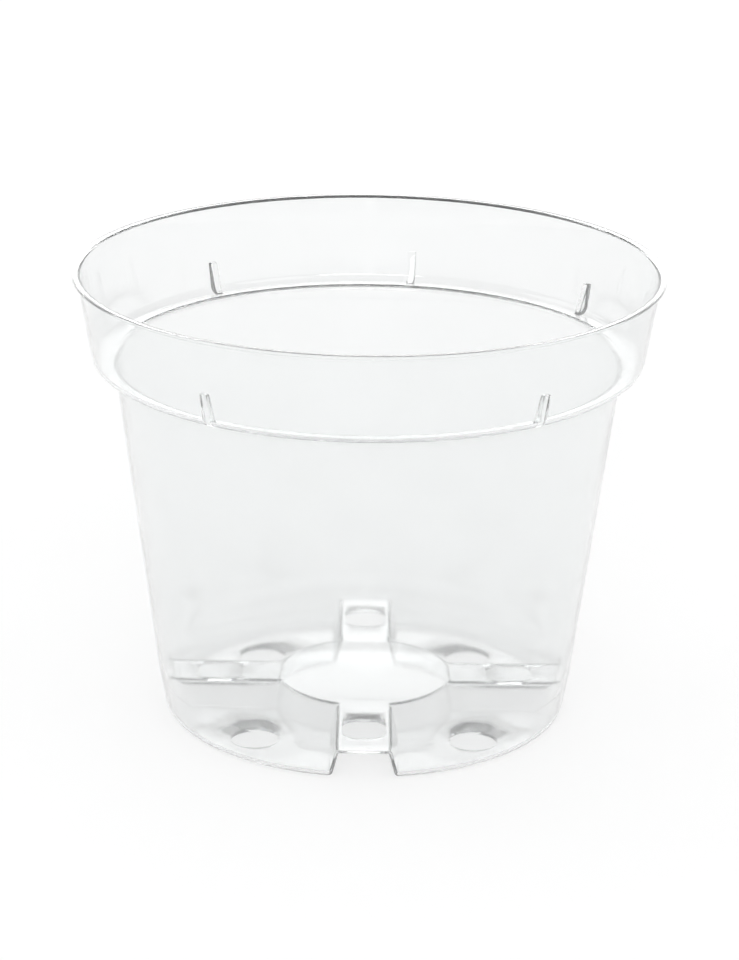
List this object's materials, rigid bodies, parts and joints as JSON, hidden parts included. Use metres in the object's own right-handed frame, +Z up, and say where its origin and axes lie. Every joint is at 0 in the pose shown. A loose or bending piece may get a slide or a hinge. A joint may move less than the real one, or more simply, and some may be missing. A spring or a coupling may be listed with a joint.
{
  "type": "orchid pot",
  "caption": "Clear round orchid pot with a lipped collar, stacking ribs, and a raised base with open drain channels, slots and holes.",
  "frame": {"origin": "centre of the foot plane, on the pot's axis", "axes": "+Z up out of the mouth, -Y towards the front, a channel on each of X and Y"},
  "size_m": [0.14, 0.14, 0.11],
  "materials": {
    "clear_polypropylene": "gloss, clear"
  },
  "bodies": {
    "root": {"rim_lip": "clear_polypropylene", "collar_wall": "clear_polypropylene", "collar_ledge": "clear_polypropylene", "side_wall": "clear_polypropylene", "base_corner": "clear_polypropylene", "centre_plate": "clear_polypropylene", "channel_back": "clear_polypropylene", "channel_left": "clear_polypropylene", "channel_front": "clear_polypropylene", "channel_right": "clear_polypropylene", "foot_back_right": "clear_polypropylene", "foot_back_left": "clear_polypropylene", "foot_front_left": "clear_polypropylene", "foot_front_right": "clear_polypropylene", "stacking_rib_1": "clear_polypropylene", "stacking_rib_2": "clear_polypropylene", "stacking_rib_3": "clear_polypropylene", "stacking_rib_4": "clear_polypropylene", "stacking_rib_5": "clear_polypropylene"}
  },
  "joints": []
}
